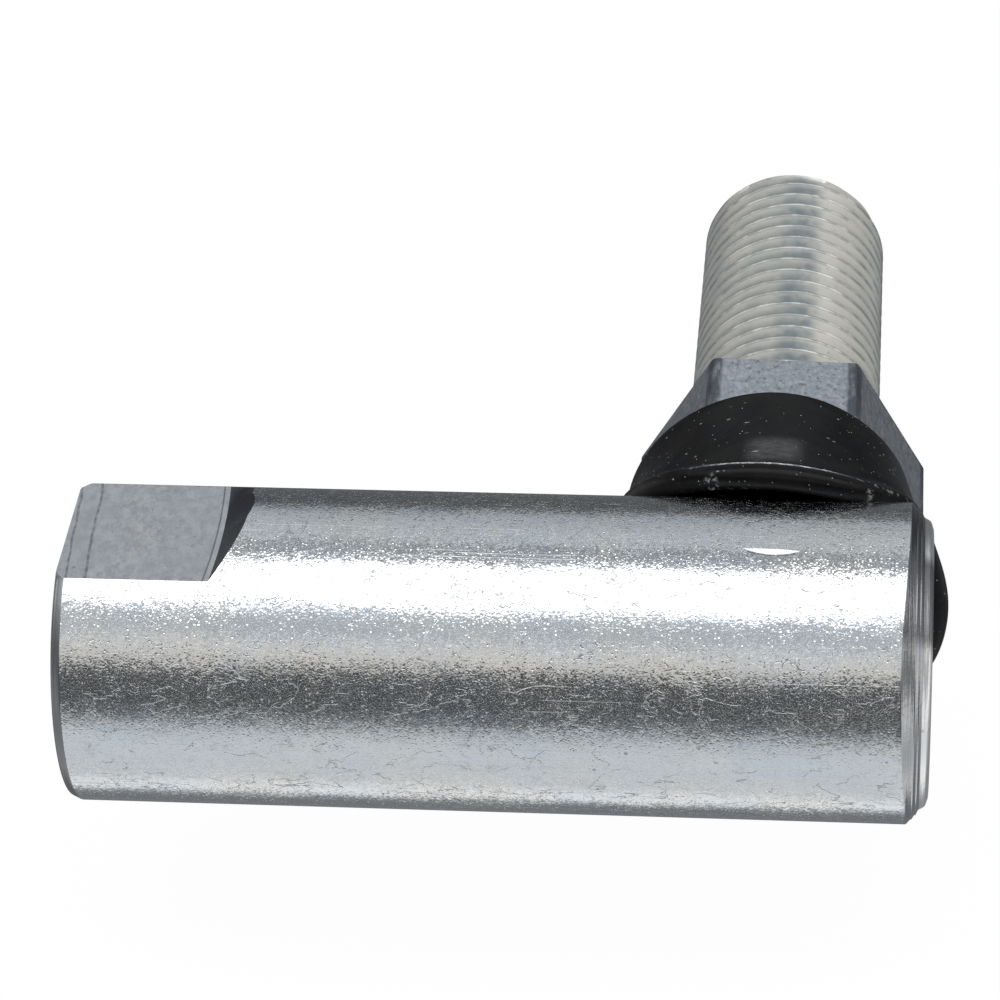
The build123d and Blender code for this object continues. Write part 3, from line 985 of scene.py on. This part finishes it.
# Studio round the barrel: light by direction, in degrees from the horizon on the camera's side,
# up over the top; below the horizon are the floor's own reflections. (angle, brightness, colour)
COOL, NEUTRAL, WARM = (0.95, 1.0, 1.05), (1.0, 1.0, 1.0), (1.04, 1.0, 0.95)
STUDIO = (
    (-180, 0.12, COOL), (-150, 0.14, COOL), (-140, 0.2, COOL), (-108, 0.22, COOL),
    (-99, 0.26, COOL), (-91, 1.28, NEUTRAL), (-83, 1.16, NEUTRAL), (-74, 0.87, NEUTRAL),
    (-46, 0.86, COOL), (-38, 0.86, COOL), (-30, 0.79, COOL), (-23, 0.54, COOL),
    (-17, 0.22, COOL), (-10, 0.13, COOL), (-4, 0.10, COOL), (19, 0.11, COOL),
    (24, 0.72, WARM), (30, 0.87, WARM), (40, 0.92, NEUTRAL), (45, 0.70, COOL),
    (54, 0.62, COOL), (65, 0.80, COOL), (67, 3.0, NEUTRAL), (100, 3.0, NEUTRAL),
    (103, 0.50, COOL), (118, 0.36, COOL), (121, 0.76, COOL), (142, 0.64, COOL),
    (155, 0.55, COOL), (160, 0.16, COOL), (166, 0.11, COOL), (180, 0.12, COOL),
)
# the same beyond the barrel's ends, by the direction's height
STUDIO_ENDS = (
    (-1.0, 0.45, NEUTRAL), (-0.6, 0.42, NEUTRAL), (-0.45, 0.5, NEUTRAL), (-0.3, 1.2, NEUTRAL),
    (-0.1, 1.1, NEUTRAL), (0.0, 0.5, NEUTRAL), (0.1, 0.15, COOL), (0.3, 0.15, COOL),
    (0.4, 1.0, WARM), (0.55, 1.3, WARM), (1.0, 1.6, NEUTRAL),
)


STUDIO_SCALE = 3.2  # brightness that a ramp's white stands for


def build_studio():
    world = bpy.data.worlds.new("studio")
    bpy.context.scene.world = world
    world.use_nodes = True
    tree = world.node_tree
    background = tree.nodes["Background"]
    coordinates = tree.nodes.new("ShaderNodeTexCoord")
    split = tree.nodes.new("ShaderNodeSeparateXYZ")
    tree.links.new(coordinates.outputs["Generated"], split.inputs[0])

    def ramp(value, stops):
        """Colour by direction; brightness over 1 comes from the scale after the ramp."""
        node = tree.nodes.new("ShaderNodeValToRGB")
        tree.links.new(value, node.inputs[0])
        elements = node.color_ramp.elements
        while len(elements) < len(stops):
            elements.new(1.0)
        for element, (at, light, colour) in zip(elements, stops):
            element.position = at
            element.color = (*(light / STUDIO_SCALE * c for c in colour), 1.0)
        return node.outputs["Color"]

    to_camera = math_node(tree, "MULTIPLY", split.outputs["Y"], -1.0)
    angle = math_node(tree, "ARCTAN2", split.outputs["Z"], to_camera)
    # -180 degrees is 0 on the ramp, and 180 is 1
    turn = math_node(tree, "ADD", math_node(tree, "DIVIDE", angle, 2 * math.pi), 0.5)
    stops = [((a + 180) / 360, light, colour) for a, light, colour in STUDIO]
    bands = ramp(turn, stops)
    height = math_node(tree, "ADD", math_node(tree, "MULTIPLY", split.outputs["Z"], 0.5), 0.5)
    ends = ramp(height, [((z + 1) / 2, light, colour) for z, light, colour in STUDIO_ENDS])
    side = math_node(tree, "ABSOLUTE", split.outputs["X"])
    share = tree.nodes.new("ShaderNodeMapRange")
    share.interpolation_type = "SMOOTHSTEP"
    tree.links.new(side, share.inputs["Value"])
    share.inputs["From Min"].default_value = 0.62
    share.inputs["From Max"].default_value = 0.9
    mix = tree.nodes.new("ShaderNodeMix")
    mix.data_type = "RGBA"
    tree.links.new(share.outputs["Result"], mix.inputs[0])
    tree.links.new(bands, mix.inputs[6])
    tree.links.new(ends, mix.inputs[7])
    tree.links.new(mix.outputs[2], background.inputs["Color"])
    background.inputs["Strength"].default_value = STUDIO_SCALE


def stage_material(name, share):
    """Nearly white surface: share of it glows evenly, and the rest takes the object's shadow."""
    material = bpy.data.materials.new(name)
    material.use_nodes = True
    tree = material.node_tree
    tree.nodes.remove(tree.nodes["Principled BSDF"])
    diffuse = tree.nodes.new("ShaderNodeBsdfDiffuse")
    diffuse.inputs["Color"].default_value = (0.92, 0.92, 0.92, 1)
    glow = tree.nodes.new("ShaderNodeEmission")
    glow.inputs["Strength"].default_value = 1.0
    mix = tree.nodes.new("ShaderNodeMixShader")
    mix.inputs[0].default_value = share
    tree.links.new(diffuse.outputs[0], mix.inputs[1])
    tree.links.new(glow.outputs[0], mix.inputs[2])
    tree.links.new(mix.outputs[0], tree.nodes["Material Output"].inputs["Surface"])
    return material


FLOOR_Z = -17.2  # just under the stud's tip when it swings down to its limit


def build_stage():
    """A pale floor and backdrop that only the camera sees; the studio's light is all around."""
    below = (BALL_X * MM, 0, FLOOR_Z * MM)
    bpy.ops.mesh.primitive_circle_add(vertices=96, radius=1.2, fill_type="NGON", location=below)
    floor = bpy.context.object
    floor.name = "floor"
    floor.data.materials.append(stage_material("floor_white", 0.97))
    bpy.ops.mesh.primitive_uv_sphere_add(segments=64, ring_count=32, radius=1.25, location=below)
    backdrop = bpy.context.object
    backdrop.name = "backdrop"
    backdrop.data.materials.append(stage_material("backdrop_white", 1.0))
    for obj in (floor, backdrop):
        obj.visible_glossy = False
        obj.visible_diffuse = False
        obj.visible_transmission = False
        obj.visible_shadow = False


# ---------------------------------------------------------------- the barrel's finishes
# the barrel's material slots
ZINC, FLAT, SLOPE, ROD_FACE, CLOSED_FACE, BORE, ROLLED_LIP, ROD_CHAMFER = range(8)


def barrel_finishes():
    """The barrel's materials, in the order of its slots."""
    return [
        zinc_bar(),
        milled_flat(),
        slope_face(),
        turned_face("rod_end_face", (0.42, 0.43, 0.44), (0.62, 0.63, 0.64), 0.3),
        # on the closed end and the rolled lip, the last two angles bound an arc of painted shade
        turned_face("closed_end_turned", (0.34, 0.35, 0.37), (0.56, 0.57, 0.57), 0.24, (-46, 90)),
        turned_face("bore_turned", (0.30, 0.30, 0.31), (0.44, 0.44, 0.45), 0.35),
        turned_face("rolled_lip", (0.80, 0.80, 0.80), (0.96, 0.96, 0.96), 0.3, (-47, -8)),
        # painted shade: the rod end's chamfer is coloured dark, for the dark reflection it shows
        turned_face("rod_end_chamfer", (0.13, 0.135, 0.145), (0.26, 0.265, 0.27), 0.34),
    ]


def paint_barrel(obj):
    """Gives each face of the barrel the finish of the surface that it lies on."""
    for face in obj.data.polygons:
        x, y, z = face.center / MM
        normal = face.normal
        radius = math.hypot(y, z)
        outer = radius > 7.4 and abs(normal.x) < 0.9
        if abs(normal.z) > 0.999 and abs(abs(z) - FLAT_HEIGHT) < 0.01:
            face.material_index = FLAT
        elif outer and 1.2 < x < 12 and normal.x < -0.03:
            face.material_index = SLOPE
        elif x < 0.02 or (x < 1.0 and radius < 6):
            face.material_index = ROD_FACE
        elif x > 46.26 and radius > 6.4:
            face.material_index = ROLLED_LIP
        elif (x > 45.62 or (x > 45.0 and radius < BARREL_R - 0.003)) and radius > 7.2:
            face.material_index = CLOSED_FACE
        elif outer and x < 1.05 and radius < BARREL_R - 0.003:
            face.material_index = ROD_CHAMFER
        elif radius < 7.2 and x > 0.4:
            face.material_index = BORE


# ---------------------------------------------------------------- the object
barrel = build_barrel(barrel_finishes())
cut_opening(barrel)
barrel.data.set_sharp_from_angle(angle=math.radians(28))
paint_barrel(barrel)
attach(barrel, "housing")
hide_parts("barrel")

plug = build_plug([turned_face("plug_turned", (0.50, 0.51, 0.52), (0.64, 0.65, 0.66), 0.28)])
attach(plug, "housing")
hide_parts("end_plug")

for piece in (build_ball([ball_steel()]), build_hex([hex_steel()]), build_shank([thread_steel()])):
    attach(piece, "stud")
    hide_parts("ball_stud")

boot = build_boot([boot_rubber()])
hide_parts("boot")
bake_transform(boot)

acetal, spring = seat_acetal(), spring_steel()
for node, material in (
    ("outer_seat", acetal),
    ("inner_seat", acetal),
    ("thrust_washer", spring),
    ("disc_spring_front", spring),
    ("disc_spring_rear", spring),
):
    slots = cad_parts[node].data.materials
    slots.clear()
    slots.append(material)

build_stage()
build_studio()
place_camera()
bpy.context.scene.view_settings.view_transform = "Standard"
